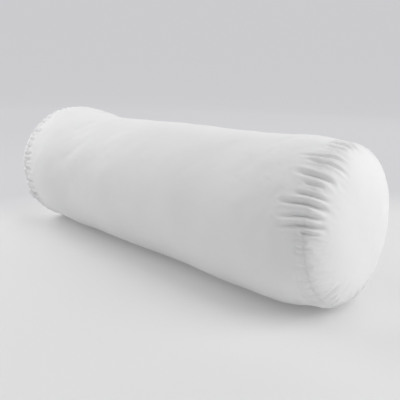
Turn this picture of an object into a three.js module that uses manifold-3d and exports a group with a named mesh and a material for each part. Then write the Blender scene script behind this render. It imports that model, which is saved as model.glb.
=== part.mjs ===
// A bolster pillow lying on its side: a stuffed liner inside a zipped cover. Millimetres, +Z up.
// The pillow's axis runs along X, and its zip is at the back, towards +Y. The origin is on the floor,
// under the middle of the pillow.
import * as THREE from "three";
import { mergeVertices } from "three/addons/utils/BufferGeometryUtils.js";
import Module from "manifold-3d";

const wasm = await Module();
wasm.setup();

// The pillow's outer shape
const BODY_RADIUS = 110;
const SEAM_SPACING = 616; // between the two end seams
const END_BULGE = 42; // how far each end panel stands out past its seam
const DOME_POWER = 2.3; // the dome is a superellipse: 2 is an ellipse, and more is squarer
const SHOULDER = 44; // the length over which the tube rounds in to an end seam
const SHOULDER_POWER = 3;
const SWELL = 8.5; // how much fuller the tube is near the end at -X
const SWELL_CENTRE = -272;
const SWELL_REACH = 80;
const SETTLE = 4; // how far the pillow flattens where it rests
const AXIS_HEIGHT = BODY_RADIUS - SETTLE;
const SEAM_GAP = 0.3; // between the two seam allowances of one seam

// The layers of fabric, from the outside in. skin is a layer's depth under the pillow's surface,
// seamInset how far its end seams are from the cover's, and seamDrop how much smaller the seam is.
const COVER = {
  skin: 0, thickness: 1, allowance: 8, seamInset: 0, seamDrop: 6, sides: 48, tubeSteps: 5, domeSteps: 7,
};
const LINER = {
  skin: 4, thickness: 0.8, allowance: 6, seamInset: 6, seamDrop: 12.8, sides: 24, tubeSteps: 3, domeSteps: 5,
};
const FILLING = {
  skin: 7, seamInset: 11, seamDrop: 17.5, sides: 24, tubeSteps: 3, domeSteps: 5,
};

// The binding: a U of overlock thread round both seam allowances of an end seam
const BINDING_THICKNESS = 0.6;
const BINDING_COVERS = 2; // how much of each allowance it covers
const CLEARANCE = 0.3;

// The zip. Heights are measured outwards from the flat facet of the cover that it lies in.
const ZIP_FACET = 3.5; // the middle of the zip, in facets above the horizontal
const ZIP_CENTRE = 25; // clear of the swell
const ZIP_OPENING = 400;
const ZIP_WINDOW = 12;
const TAPE_TOP = -1.3;
const TAPE_THICKNESS = 0.6;
const TAPE_EDGE = 14; // from the middle of the zip to the tape's outer edge
const TAPE_OVERLAP = 12; // how far the tapes run under the cover past the opening
const CHAIN_GAP = 0.75; // from the middle of the zip to the tapes and the coils
const COIL_BOTTOM = -1;
const COIL_TOP = 0.9;
const COIL_WIDTH = 2.4;
const COIL_BEVEL = 0.55;
const CHAIN_LENGTH = 382;
const STOP_LENGTH = 3;
const STOP_SPACE = 1; // from the end of a coil to its stop
const STOP_TOP = 2;
const STOP_WIDTH = 2.85;

// The slider
const SLIDER_LENGTH = 12.5;
const SLIDER_WIDTH = 10;
const SLIDER_CORNER = 2;
const SLIDER_REST = 185; // from the middle of the zip, closed, next to the top stops
const TOP_PLATE = [1.3, 2.4];
const BOTTOM_PLATE = [-3.3, -2.3];
const LIP_BOTTOM = -0.9;
const LIP_THICKNESS = 1;
const LIP_LENGTH = 9;
const POST_LENGTH = 3.5;
const POST_THICKNESS = 0.8;
const POST_CENTRE = 3.2;
const EMBED = 0.2; // how far joined pieces of metal run into each other

// The slider's lug and the pull that hangs on it
const PIVOT = 4;
const LUG_FOOT = 3.2;
const LUG_ROUND = 1.7;
const LUG_HOLE = 0.9;
const LUG_THICKNESS = 1.8;
const BAR_RADIUS = 0.55;
const PULL_THICKNESS = 1.2;
const PULL_LENGTH = 28;
const PULL_WIDTH = 8;
const FORK_WIDTH = 4.8;
const FORK_GAP = 2.6;
const FORK_DEPTH = 7;
const FORK_END = 0.9; // how far the arms run past the bar
const FORK_NECK = 5; // where the pull starts to widen
const FORK_SHOULDER = 8; // where it has its full width

// The care label, sewn into the seam at -X
const LABEL_ANGLE = THREE.MathUtils.degToRad(209);
const LABEL_WIDTH = 18;
const LABEL_SHOWS = 14;
const LABEL_ROOT = 5;
const LABEL_THICKNESS = 0.4;

const ROUND_STEPS = 12;
const CORNER_STEPS = 3;
const MERGE_DISTANCE = 1e-4;

const FACET = (2 * Math.PI) / COVER.sides;
const FACET_PLANE = BODY_RADIUS * Math.cos(FACET / 2);
const FACET_HALF_WIDTH = BODY_RADIUS * Math.sin(FACET / 2);
const ZIP_ANGLE = ZIP_FACET * FACET;

const COVER_LOOK = { color: 0xf1f0ee, roughness: 0.75, metalness: 0 };
const LINER_LOOK = { color: 0xe4e2dd, roughness: 0.9, metalness: 0 };
const FILLING_LOOK = { color: 0xf6f5f1, roughness: 0.95, metalness: 0 };
const THREAD_LOOK = { color: 0xe9e8e4, roughness: 0.8, metalness: 0 };
const TAPE_LOOK = { color: 0xebeae7, roughness: 0.85, metalness: 0 };
const COIL_LOOK = { color: 0xe6e6e4, roughness: 0.4, metalness: 0 };
const METAL_LOOK = { color: 0xb9babb, roughness: 0.35, metalness: 1 };
const LABEL_LOOK = { color: 0xfafafa, roughness: 0.5, metalness: 0 };

// ---------------------------------------------------------------- solids

function toSolid(geometry) {
  const bare = new THREE.BufferGeometry();
  bare.setAttribute("position", geometry.getAttribute("position"));
  bare.setIndex(geometry.getIndex());
  const merged = mergeVertices(bare, MERGE_DISTANCE);
  const mesh = new wasm.Mesh({
    numProp: 3,
    vertProperties: merged.getAttribute("position").array,
    triVerts: new Uint32Array(merged.getIndex().array),
  });
  return new wasm.Manifold(mesh);
}

function toGeometry(solid) {
  const { vertProperties, triVerts } = solid.getMesh();
  const geometry = new THREE.BufferGeometry();
  geometry.setAttribute("position", new THREE.BufferAttribute(vertProperties, 3));
  geometry.setIndex(new THREE.BufferAttribute(triVerts, 1));
  geometry.computeVertexNormals();
  return geometry;
}

function joined(geometries) {
  return toGeometry(geometries.map(toSolid).reduce((whole, part) => whole.add(part)));
}

function cut(geometry, tools) {
  return toGeometry(tools.map(toSolid).reduce((whole, tool) => whole.subtract(tool), toSolid(geometry)));
}

function piece(name, geometry, look) {
  const mesh = new THREE.Mesh(geometry, new THREE.MeshStandardMaterial(look));
  mesh.name = name;
  return mesh;
}

// ---------------------------------------------------------------- turned fabric

function spaced(from, to, steps) {
  return Array.from({ length: steps + 1 }, (_, i) => from + ((to - from) * i) / steps);
}

function seamX(layer) {
  return SEAM_SPACING / 2 - layer.seamInset;
}

function apexX(layer) {
  return SEAM_SPACING / 2 + END_BULGE - layer.skin;
}

function swellAt(x) {
  const u = (x - SWELL_CENTRE) / SWELL_REACH;
  return Math.abs(u) < 1 ? SWELL * Math.cos((u * Math.PI) / 2) ** 2 : 0;
}

function radiusAt(layer, x) {
  const shoulder = Math.max(0, (Math.abs(x) - seamX(layer) + SHOULDER) / SHOULDER);
  return BODY_RADIUS - layer.skin + swellAt(x) - layer.seamDrop * shoulder ** SHOULDER_POWER;
}

// Turns a profile about the pillow's axis and lets it settle on the floor. A point of the profile is
// [x, radius, depth], and comes no nearer to the floor than its depth under the pillow's surface.
function turned(profile, sides) {
  const outline = profile.map(([x, radius]) => new THREE.Vector2(radius, x));
  const geometry = new THREE.LatheGeometry(outline, sides);
  geometry.rotateZ(-Math.PI / 2);
  geometry.translate(0, 0, AXIS_HEIGHT);
  const place = geometry.getAttribute("position");
  for (let i = 0; i < place.count; i++) {
    const depth = profile[i % profile.length][2];
    place.setZ(i, Math.max(place.getZ(i), depth));
  }
  return toGeometry(toSolid(geometry));
}

// The rings of a tube between two ends: close together where it swells and at its shoulders.
function tubeOutline(layer, depth, end) {
  const swelling = spaced(-end, SWELL_CENTRE + SWELL_REACH, 2 * layer.tubeSteps);
  const shoulder = spaced(seamX(layer) - SHOULDER, end, layer.tubeSteps);
  return [...swelling, ...shoulder].map((x) => [x, radiusAt(layer, x) - (depth - layer.skin), depth]);
}

// An end dome, from its seam to its apex on the axis.
function domeOutline(baseX, tipX, seamRadius, depth, steps) {
  return spaced(0, Math.PI / 2, steps).map((t) => [
    baseX + (tipX - baseX) * Math.sin(t) ** (2 / DOME_POWER),
    seamRadius * Math.cos(t) ** (2 / DOME_POWER),
    depth,
  ]);
}

function mirrored(profile) {
  return profile.map(([x, radius, depth]) => [-x, radius, depth]).reverse();
}

// A tube of fabric with its seam allowances turned in at both ends.
function tubeShell(layer) {
  const { skin, thickness, allowance, sides } = layer;
  const end = seamX(layer) - SEAM_GAP / 2;
  const outside = tubeOutline(layer, skin, end);
  const inside = tubeOutline(layer, skin + thickness, end - thickness).reverse();
  const leftEdge = radiusAt(layer, -end) - allowance;
  const rightEdge = radiusAt(layer, end) - allowance;
  const profile = [
    [-end, leftEdge, skin],
    ...outside,
    [end, rightEdge, skin],
    [end - thickness, rightEdge, skin],
    ...inside,
    [thickness - end, leftEdge, skin],
    [-end, leftEdge, skin],
  ];
  return turned(profile, sides);
}

// A round end panel with its seam allowance turned in. side is 1 at +X and -1 at -X.
function endShell(layer, side) {
  const { skin, thickness, allowance, sides, domeSteps } = layer;
  const base = seamX(layer) + SEAM_GAP / 2;
  const tip = apexX(layer);
  const seamRadius = radiusAt(layer, side * seamX(layer));
  const edge = seamRadius - allowance;
  const innerRadius = seamRadius - thickness;
  const inner = domeOutline(base + thickness, tip - thickness, innerRadius, skin + thickness, domeSteps);
  const profile = [
    ...inner.reverse(),
    [base + thickness, edge, skin],
    [base, edge, skin],
    ...domeOutline(base, tip, seamRadius, skin, domeSteps),
  ];
  return turned(side > 0 ? profile : mirrored(profile), sides);
}

function fillingCore(layer) {
  const end = seamX(layer);
  const dome = (side) =>
    domeOutline(end, apexX(layer), radiusAt(layer, side * end), layer.skin, layer.domeSteps).slice(1);
  const profile = [...mirrored(dome(-1)), ...tubeOutline(layer, layer.skin, end), ...dome(1)];
  return turned(profile, layer.sides);
}

function seamBinding(side) {
  const allowanceEdge = radiusAt(COVER, side * seamX(COVER)) - COVER.allowance;
  const outer = allowanceEdge + BINDING_COVERS;
  const channel = allowanceEdge - CLEARANCE;
  const inner = channel - BINDING_THICKNESS;
  const gapHalf = SEAM_GAP / 2 + COVER.thickness + CLEARANCE;
  const half = gapHalf + BINDING_THICKNESS;
  const section = [
    [-half, inner], [-half, outer], [-gapHalf, outer], [-gapHalf, channel],
    [gapHalf, channel], [gapHalf, outer], [half, outer], [half, inner], [-half, inner],
  ];
  return turned(section.map(([x, radius]) => [side * seamX(COVER) + x, radius, 0]), COVER.sides);
}

// ---------------------------------------------------------------- zip

// Extrudes an outline of [across, height] points along X.
function alongX(outline, from, to) {
  const shape = new THREE.Shape(outline.map(([across, height]) => new THREE.Vector2(-across, height)));
  const geometry = new THREE.ExtrudeGeometry(shape, { depth: to - from, bevelEnabled: false });
  geometry.rotateY(Math.PI / 2);
  geometry.translate(from, FACET_PLANE, 0);
  return geometry;
}

// Extrudes a shape drawn in X and across upwards, between two heights.
function upwards(shape, [from, to]) {
  const options = { depth: to - from, bevelEnabled: false, curveSegments: CORNER_STEPS };
  const geometry = new THREE.ExtrudeGeometry(shape, options);
  geometry.rotateX(-Math.PI / 2);
  geometry.translate(0, FACET_PLANE + from, 0);
  return geometry;
}

function block(x, height, across) {
  const geometry = new THREE.BoxGeometry(x[1] - x[0], height[1] - height[0], across[1] - across[0]);
  const middle = [x, height, across].map(([low, high]) => (low + high) / 2);
  geometry.translate(middle[0], FACET_PLANE + middle[1], middle[2]);
  return geometry;
}

// side is 1 for the upper half of the zip and -1 for the lower half.
function zipTape(side) {
  const fall = (TAPE_EDGE - FACET_HALF_WIDTH) * Math.tan(FACET);
  const top = [[CHAIN_GAP, TAPE_TOP], [FACET_HALF_WIDTH, TAPE_TOP], [TAPE_EDGE, TAPE_TOP - fall]];
  const bottom = top.map(([across, height]) => [across, height - TAPE_THICKNESS]).reverse();
  const half = ZIP_OPENING / 2 + TAPE_OVERLAP;
  return alongX([...top, ...bottom].map(([across, height]) => [side * across, height]), -half, half);
}

// The outline of one half of the chain, with its two upper edges bevelled.
function chainOutline(side, from, width, top) {
  const to = from + width;
  return [
    [from, COIL_BOTTOM],
    [to, COIL_BOTTOM],
    [to, top - COIL_BEVEL],
    [to - COIL_BEVEL, top],
    [from + COIL_BEVEL, top],
    [from, top - COIL_BEVEL],
  ].map(([across, height]) => [side * across, height]);
}

function zipCoil(side) {
  return alongX(chainOutline(side, CHAIN_GAP, COIL_WIDTH, COIL_TOP), -CHAIN_LENGTH / 2, CHAIN_LENGTH / 2);
}

function topStop(side) {
  const start = CHAIN_LENGTH / 2 + STOP_SPACE;
  return alongX(chainOutline(side, CHAIN_GAP, STOP_WIDTH, STOP_TOP), start, start + STOP_LENGTH);
}

function bottomStop() {
  const half = CHAIN_GAP + STOP_WIDTH;
  const start = -CHAIN_LENGTH / 2 - STOP_SPACE;
  return alongX(chainOutline(1, -half, 2 * half, STOP_TOP), start - STOP_LENGTH, start);
}

function sliderPlate(heights) {
  const x = SLIDER_LENGTH / 2 - SLIDER_CORNER;
  const across = SLIDER_WIDTH / 2 - SLIDER_CORNER;
  const shape = new THREE.Shape();
  [[x, across], [-x, across], [-x, -across], [x, -across]].forEach(([cx, cy], i) => {
    shape.absarc(cx, cy, SLIDER_CORNER, (i * Math.PI) / 2, ((i + 1) * Math.PI) / 2);
  });
  return upwards(shape, heights);
}

function sliderLug() {
  const foot = TOP_PLATE[1] - EMBED;
  const shape = new THREE.Shape();
  shape.moveTo(LUG_FOOT, foot);
  shape.lineTo(LUG_ROUND, PIVOT);
  shape.absarc(0, PIVOT, LUG_ROUND, 0, Math.PI);
  shape.lineTo(-LUG_FOOT, foot);
  const hole = new THREE.Path();
  hole.absarc(0, PIVOT, LUG_HOLE, 0, 2 * Math.PI, true);
  shape.holes.push(hole);
  const options = { depth: LUG_THICKNESS, bevelEnabled: false, curveSegments: ROUND_STEPS / 2 };
  const geometry = new THREE.ExtrudeGeometry(shape, options);
  geometry.translate(0, FACET_PLANE, -LUG_THICKNESS / 2);
  return geometry;
}

function zipSlider() {
  const outside = SLIDER_WIDTH / 2;
  const lipHeights = [LIP_BOTTOM, TOP_PLATE[0] + EMBED];
  const lips = [-1, 1].map((side) => {
    const across = [side * outside, side * (outside - LIP_THICKNESS)].sort((a, b) => a - b);
    return block([-LIP_LENGTH / 2, LIP_LENGTH / 2], lipHeights, across);
  });
  const post = block(
    [POST_CENTRE - POST_LENGTH / 2, POST_CENTRE + POST_LENGTH / 2],
    [BOTTOM_PLATE[1] - EMBED, TOP_PLATE[0] + EMBED],
    [-POST_THICKNESS / 2, POST_THICKNESS / 2],
  );
  return joined([sliderPlate(TOP_PLATE), sliderPlate(BOTTOM_PLATE), ...lips, post, sliderLug()]);
}

// The pull lies back from its hinge towards -X: a fork, a neck and a round-ended tab.
function zipPull() {
  const half = PULL_WIDTH / 2;
  const round = PULL_LENGTH - half;
  const shape = new THREE.Shape();
  shape.moveTo(FORK_END, FORK_GAP / 2);
  shape.lineTo(FORK_END, FORK_WIDTH / 2);
  shape.lineTo(-FORK_NECK, FORK_WIDTH / 2);
  shape.lineTo(-FORK_SHOULDER, half);
  shape.absarc(-round, 0, half, Math.PI / 2, 1.5 * Math.PI);
  shape.lineTo(-FORK_SHOULDER, -half);
  shape.lineTo(-FORK_NECK, -FORK_WIDTH / 2);
  shape.lineTo(FORK_END, -FORK_WIDTH / 2);
  shape.lineTo(FORK_END, -FORK_GAP / 2);
  shape.lineTo(-FORK_DEPTH, -FORK_GAP / 2);
  shape.lineTo(-FORK_DEPTH, FORK_GAP / 2);
  const bar = new THREE.CylinderGeometry(BAR_RADIUS, BAR_RADIUS, FORK_WIDTH - 2 * EMBED, ROUND_STEPS);
  bar.rotateX(Math.PI / 2);
  bar.translate(0, FACET_PLANE + PIVOT, 0);
  return joined([upwards(shape, [PIVOT - PULL_THICKNESS / 2, PIVOT + PULL_THICKNESS / 2]), bar]);
}

// ---------------------------------------------------------------- assembly

// The frame of the zip: Y points out of the cover and Z up along it.
function zipFrame() {
  const group = new THREE.Group();
  group.rotation.x = ZIP_ANGLE;
  group.position.set(ZIP_CENTRE, 0, AXIS_HEIGHT);
  group.updateMatrix();
  return group;
}

// The frame of the care label: Y points out of the seam.
function labelFrame() {
  const group = new THREE.Group();
  group.rotation.x = LABEL_ANGLE;
  group.position.set(-seamX(COVER), 0, AXIS_HEIGHT);
  group.updateMatrix();
  return group;
}

// A flat tab across the seam, with some space round it.
function labelTab(space) {
  const seamRadius = radiusAt(COVER, -seamX(COVER));
  const length = LABEL_SHOWS + LABEL_ROOT + 2 * space;
  const tab = new THREE.BoxGeometry(LABEL_THICKNESS + 2 * space, length, LABEL_WIDTH + 2 * space);
  return tab.translate(0, seamRadius + (LABEL_SHOWS - LABEL_ROOT) / 2, 0);
}

function zipOpening() {
  const half = ZIP_OPENING / 2;
  const through = 3 * COVER.thickness;
  return block([-half, half], [-through, through], [-ZIP_WINDOW / 2, ZIP_WINDOW / 2]);
}

function cover() {
  const labelPocket = labelTab(CLEARANCE).applyMatrix4(labelFrame().matrix);
  const opening = zipOpening().applyMatrix4(zipFrame().matrix);
  return [
    piece("cover_tube", cut(tubeShell(COVER), [opening, labelPocket]), COVER_LOOK),
    piece("cover_end_right", endShell(COVER, 1), COVER_LOOK),
    piece("cover_end_left", cut(endShell(COVER, -1), [labelPocket]), COVER_LOOK),
    piece("seam_binding_right", seamBinding(1), THREAD_LOOK),
    piece("seam_binding_left", seamBinding(-1), THREAD_LOOK),
  ];
}

function inside() {
  return [
    piece("filling_core", fillingCore(FILLING), FILLING_LOOK),
    piece("liner_tube", tubeShell(LINER), LINER_LOOK),
    piece("liner_end_right", endShell(LINER, 1), LINER_LOOK),
    piece("liner_end_left", endShell(LINER, -1), LINER_LOOK),
  ];
}

function slider() {
  const group = new THREE.Group();
  group.position.x = SLIDER_REST;
  group.add(piece("zip_slider", zipSlider(), METAL_LOOK), piece("zip_pull", zipPull(), METAL_LOOK));
  return group;
}

function zip() {
  const group = zipFrame();
  for (const [side, half] of [[1, "upper"], [-1, "lower"]]) {
    group.add(
      piece(`zip_tape_${half}`, zipTape(side), TAPE_LOOK),
      piece(`zip_coil_${half}`, zipCoil(side), COIL_LOOK),
      piece(`zip_stop_top_${half}`, topStop(side), METAL_LOOK),
    );
  }
  group.add(piece("zip_stop_bottom", bottomStop(), METAL_LOOK), slider());
  return group;
}

function label() {
  const group = labelFrame();
  group.add(piece("care_label", labelTab(0), LABEL_LOOK));
  return group;
}

const pillow = new THREE.Group();
pillow.add(...inside(), ...cover(), zip(), label());

export default pillow;
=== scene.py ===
"""Bolster pillow: a white zipped cover with gathered end seams round a stuffed liner.

Lengths are in metres, in the CAD's frame: +X along the pillow, +Z up, and the zip at the back, towards +Y.
An angle round the pillow is 0 towards +Y, a quarter turn at the top and a half turn at the front.
"""
import math
import bmesh
import bpy
import numpy as np
from mathutils import Matrix, Vector


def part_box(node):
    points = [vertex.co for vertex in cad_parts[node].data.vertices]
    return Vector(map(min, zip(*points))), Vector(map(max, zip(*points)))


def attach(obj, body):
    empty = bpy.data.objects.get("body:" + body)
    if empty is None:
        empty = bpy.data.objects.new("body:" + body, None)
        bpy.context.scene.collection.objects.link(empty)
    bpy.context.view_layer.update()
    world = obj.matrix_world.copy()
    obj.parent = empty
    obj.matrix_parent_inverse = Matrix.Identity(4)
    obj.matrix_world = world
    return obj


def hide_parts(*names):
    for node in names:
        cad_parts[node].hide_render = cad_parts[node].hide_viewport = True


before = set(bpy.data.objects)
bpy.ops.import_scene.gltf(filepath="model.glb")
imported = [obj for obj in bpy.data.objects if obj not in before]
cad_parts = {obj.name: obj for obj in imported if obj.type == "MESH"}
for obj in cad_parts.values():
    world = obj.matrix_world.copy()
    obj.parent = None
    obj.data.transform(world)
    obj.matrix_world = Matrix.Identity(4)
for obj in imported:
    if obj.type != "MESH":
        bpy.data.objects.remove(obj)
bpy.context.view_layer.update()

MM = 0.001
TAU = 2 * math.pi

# The pillow's driving sizes, from the frame and the CAD's own dimensions
TUBE_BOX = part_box("cover_tube")
TIP_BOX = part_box("cover_end_right")
SEAM_X = (TUBE_BOX[1].x + TIP_BOX[0].x) / 2
BULGE = TIP_BOX[1].x - SEAM_X
RADIUS = 110 * MM
AXIS_Z = 106 * MM
COVER_THICKNESS = 0.8 * MM
ALLOWANCE = 8 * MM
ALONG = np.array([1.0, 0, 0])

# The zip's frame: the middle of its facet, and the directions out of the cover and up along it
ZIP_ANGLE = math.radians(26.25)
ZIP_OUT = np.array([0, math.cos(ZIP_ANGLE), math.sin(ZIP_ANGLE)])
ZIP_UP = np.array([0, -math.sin(ZIP_ANGLE), math.cos(ZIP_ANGLE)])
FACET_PLANE = RADIUS * math.cos(math.pi / 48)
ZIP_X = 25 * MM
ZIP_OPENING = 400 * MM
ZIP_START, ZIP_END = ZIP_X - ZIP_OPENING / 2, ZIP_X + ZIP_OPENING / 2
CHAIN_LENGTH = 382 * MM
TAPE_OVERLAP = 12 * MM  # how far the tapes run past the opening
# The cover lies flat within the first angle of the zip and is free past the second
ZIP_FLAT, ZIP_CLEAR = math.radians(8), math.radians(34)
ZIP_FADE = 60 * MM  # how far past the tapes' ends it takes to come free

# The outline along the tube: (share of the length from the far seam, share of the radius)
TOP_LINE = [
    (0, 2.02), (0.035, 2.055), (0.10, 2.025), (0.165, 1.972), (0.215, 1.948),
    (0.31, 1.955), (0.5, 1.979), (0.75, 1.979), (0.92, 2.014), (1, 1.984),
]
BOTTOM_LINE = [(0, -0.015), (0.28, -0.021), (0.75, -0.021), (0.92, -0.016), (1, 0.056)]
WIDTH_LINE = [
    (0, 1.018), (0.10, 1.06), (0.28, 1), (0.75, 1), (0.89, 0.999), (0.927, 0.99), (0.964, 0.962), (1, 0.891),
]
# How square the lower half of the section is: 2 is an ellipse
SQUARENESS = [(0, 2), (0.4, 2.12), (0.62, 2.03), (0.8, 2.22), (0.9, 2.22), (1, 2.02)]
DOME_POWER = 2.28
FAR_FULLNESS = 0.05
FLOOR_SOFTNESS = 1 * MM
SEAM_LEAN = 18.8 * MM  # how much further out the near seam lies at the bottom than at the top

SEAM_GAP = 0.08 * MM


# ---------------------------------------------------------------- numbers

def smooth_curve(points, at):
    """The value at a place on the curve through a few points, which doesn't overshoot between them."""
    place, value = np.array(points, float).T
    step = np.diff(place)
    slope = np.diff(value) / step
    tangent = np.zeros_like(value)
    before, after = slope[:-1], slope[1:]
    same = before * after > 0
    late, early = 2 * step[1:] + step[:-1], step[1:] + 2 * step[:-1]
    safe_before, safe_after = np.where(same, before, 1), np.where(same, after, 1)
    mean = (late + early) / (late / safe_before + early / safe_after)
    tangent[1:-1] = np.where(same, mean, 0)
    tangent[0], tangent[-1] = slope[0], slope[-1]
    i = np.clip(np.searchsorted(place, at, side="right") - 1, 0, len(step) - 1)
    u = (at - place[i]) / step[i]
    rise = value[i] * (1 + 2 * u) * (1 - u) ** 2 + value[i + 1] * u ** 2 * (3 - 2 * u)
    return rise + step[i] * (tangent[i] * u * (1 - u) ** 2 - tangent[i + 1] * u ** 2 * (1 - u))


def ease(x, start, end):
    """0 at start and 1 at end, smooth at both."""
    u = np.clip((x - start) / (end - start), 0, 1)
    return u * u * (3 - 2 * u)


def angle_from(angle, middle):
    """The difference of two angles, between minus and plus half a turn."""
    return (angle - middle + math.pi) % TAU - math.pi


def graded(length, first, growth, largest):
    """Places from 0 to length, close together at the start and further apart towards the end."""
    places, step = [0.0], first
    while places[-1] < length:
        places.append(places[-1] + step)
        step = min(step * growth, largest)
    return np.array(places) * length / places[-1]


# ---------------------------------------------------------------- the pillow's surface

def surface(x, angle):
    """Points on the smooth outline of the pillow, before seams and puckers."""
    t = np.clip((x + SEAM_X) / (2 * SEAM_X), 0, 1)
    top, bottom, width = (smooth_curve(c, t) * RADIUS for c in (TOP_LINE, BOTTOM_LINE, WIDTH_LINE))
    beyond = np.clip((np.abs(x) - SEAM_X) / BULGE, 0, 1)
    share = (1 - beyond ** DOME_POWER) ** (1 / DOME_POWER)
    turn = np.arcsin(beyond ** (DOME_POWER / 2))
    share = share * (1 + np.where(x < 0, FAR_FULLNESS, 0) * np.sin(2 * turn))
    power = np.where(np.sin(angle) < 0, smooth_curve(SQUARENESS, t), 2)
    share = share * (np.abs(np.cos(angle)) ** power + np.abs(np.sin(angle)) ** power) ** (-1 / power)
    y = width * share * np.cos(angle)
    z = (top + bottom) / 2 + (top - bottom) / 2 * share * np.sin(angle)
    z = (z + np.sqrt(z * z + FLOOR_SOFTNESS ** 2)) / 2
    points = np.stack(np.broadcast_arrays(x, y, z), axis=-1)
    round_section = np.broadcast_arrays(x, RADIUS * np.cos(angle), AXIS_Z + RADIUS * np.sin(angle))
    on_zip = np.stack(round_section, axis=-1)
    return points + (on_zip - points) * zip_share(x, angle)[..., None]


def zip_share(x, angle):
    """1 where the cover lies flat along the zip, and 0 well away from it."""
    across = 1 - ease(np.abs(angle_from(angle, ZIP_ANGLE)), ZIP_FLAT, ZIP_CLEAR)
    half = ZIP_OPENING / 2 + TAPE_OVERLAP
    return across * (1 - ease(np.abs(x - ZIP_X), half, half + ZIP_FADE))


def seam_lean(angle):
    return SEAM_LEAN * (1 - np.sin(angle)) / 2


# The rings of points: the first step from a seam, how the steps grow, and the largest
FAR_STEPS, NEAR_STEPS = (1.5 * MM, 1.07, 6 * MM), (1.5 * MM, 1.03, 6 * MM)
ZIP_RINGS = 68
DOME_SAMPLES = 400
DOME_STEPS = (0.012, 1.035, 0.04)  # in shares of the way from the seam to the tip


def tube_rings(angle):
    """The tube's rings of points, from the far seam to the near one. The near seam leans."""
    far = graded(ZIP_START + SEAM_X, *FAR_STEPS) - SEAM_X
    near = SEAM_X - graded(SEAM_X - ZIP_END, *NEAR_STEPS)[::-1]
    middle = np.linspace(ZIP_START, ZIP_END, ZIP_RINGS)[1:-1]
    places = np.concatenate([far, middle, near])
    x = places[:, None] + seam_lean(angle) * ease(places, ZIP_END + 4 * MM, SEAM_X)[:, None]
    return surface(x, np.broadcast_to(angle, x.shape))


def dome_rings(angle, side):
    """The rings of an end panel, from its seam to its tip."""
    start = seam_lean(angle) / BULGE if side > 0 else 0 * angle
    first_turn = np.arcsin(start ** (DOME_POWER / 2))
    along = np.linspace(0, 1, DOME_SAMPLES)[:, None]
    turn = first_turn + (math.pi / 2 - first_turn) * along
    x = side * (SEAM_X + BULGE * np.sin(turn) ** (2 / DOME_POWER))
    dense = surface(x, np.broadcast_to(angle, x.shape))
    gone = np.linalg.norm(np.diff(dense, axis=0), axis=-1)
    gone = np.concatenate([np.zeros((1, len(angle))), np.cumsum(gone, axis=0)])
    places = graded(1, *DOME_STEPS)
    rings = np.empty((len(places), len(angle), 3))
    for column in range(len(angle)):
        at = places * gone[-1, column]
        for axis in range(3):
            rings[:, column, axis] = np.interp(at, gone[:, column], dense[:, column, axis])
    return rings


STEPS = [(-8, 8, 0.5), (8, 352, 1)]  # degrees round from the zip: finer columns beside it
OFFSETS = np.radians(np.concatenate([np.arange(*step) for step in STEPS]))
ANGLES = ZIP_ANGLE + OFFSETS
OFFSETS_ROUND = angle_from(ANGLES, ZIP_ANGLE)
SLOT_HALF = math.radians(3)
SLOT_FIRST, SLOT_LAST = (int(np.argmin(np.abs(OFFSETS - edge))) for edge in (-SLOT_HALF, SLOT_HALF))


def ring_normals(rings, side=1):
    """The outward directions at a grid of points whose rows are rings."""
    wrapped = np.concatenate([rings[:, -1:], rings, rings[:, :1]], axis=1)
    round_it = wrapped[:, 2:] - wrapped[:, :-2]
    along = np.gradient(rings, axis=0)
    normal = side * np.cross(round_it, along)
    return normal / np.maximum(np.linalg.norm(normal, axis=-1, keepdims=True), 1e-12)


def distance_along(rings, start):
    """How far each point is from the seam row along its own column."""
    step = np.linalg.norm(np.diff(rings, axis=0), axis=-1)
    gone = np.concatenate([np.zeros((1, rings.shape[1])), np.cumsum(step, axis=0)])
    return np.abs(gone - gone[start])


def ring_radius(rings):
    """The length of a radian round the pillow at each point."""
    wrapped = np.concatenate([rings[:, -1:], rings, rings[:, :1]], axis=1)
    turned = (np.roll(OFFSETS, -1) - np.roll(OFFSETS, 1)) % TAU
    return np.linalg.norm(wrapped[:, 2:] - wrapped[:, :-2], axis=-1) / turned


# ---------------------------------------------------------------- seams and puckers

# Near end: degrees round, width, depth, length on the tube and on the end panel in mm, and the drift
# towards larger angles per length away from the seam, on the tube and on the end panel
NEAR_PUCKERS = [
    (118.5, 1.9, 3.0, 40, 28, 0.14, -0.20), (124.5, 1.9, 3.0, 26, 42, -0.06, -0.12),
    (135.5, 3.0, 4.4, 34, 30, -0.10, 0), (142, 1.8, 2.4, 14, 16, 0, 0),
    (149, 2.2, 3.2, 24, 30, 0, 0), (155, 2.8, 5.2, 44, 30, 0, 0.05),
    (162.5, 2.2, 4.0, 42, 24, 0.12, 0), (168.5, 2.7, 5.0, 38, 30, 0.14, 0),
    (173, 1.9, 3.0, 3, 26, 0, 0), (178.5, 1.7, 1.3, 16, 6, 0.05, 0),
    (183, 1.7, 1.4, 14, 12, 0, 0), (186.5, 1.7, 1.2, 12, 14, 0, 0),
    (195.5, 1.9, 0.9, 16, 10, 0, 0), (206.5, 1.9, 0.8, 12, 10, 0, 0),
    (213, 1.7, 0.8, 10, 10, 0, 0), (222, 1.5, 1.8, 30, 16, 0.05, 0),
]
NEAR_SHOWN = (112, 228)
PUCKER_SPACING = 7.4
RIDGE = 0.34


def random_puckers(rng, skipped=None):
    """Puckers all round a seam, apart from the stretch that has its own."""
    puckers, degree = [], 0.0
    while degree < 360 - PUCKER_SPACING / 2:
        at = degree + rng.uniform(-2.2, 2.2)
        strength = rng.uniform(0.25, 1) ** 1.5
        width, depth = 1.9 + 1.1 * strength, 0.9 + 3.4 * strength
        tube, dome = 8 + 28 * strength * rng.uniform(0.6, 1.2), 8 + 22 * strength * rng.uniform(0.6, 1.2)
        drift = rng.uniform(-0.16, 0.16, 2)
        if skipped is None or not skipped[0] < at < skipped[1]:
            puckers.append((at, width, depth, tube, dome, *drift))
        degree += PUCKER_SPACING * rng.uniform(0.8, 1.2)
    return puckers


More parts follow.
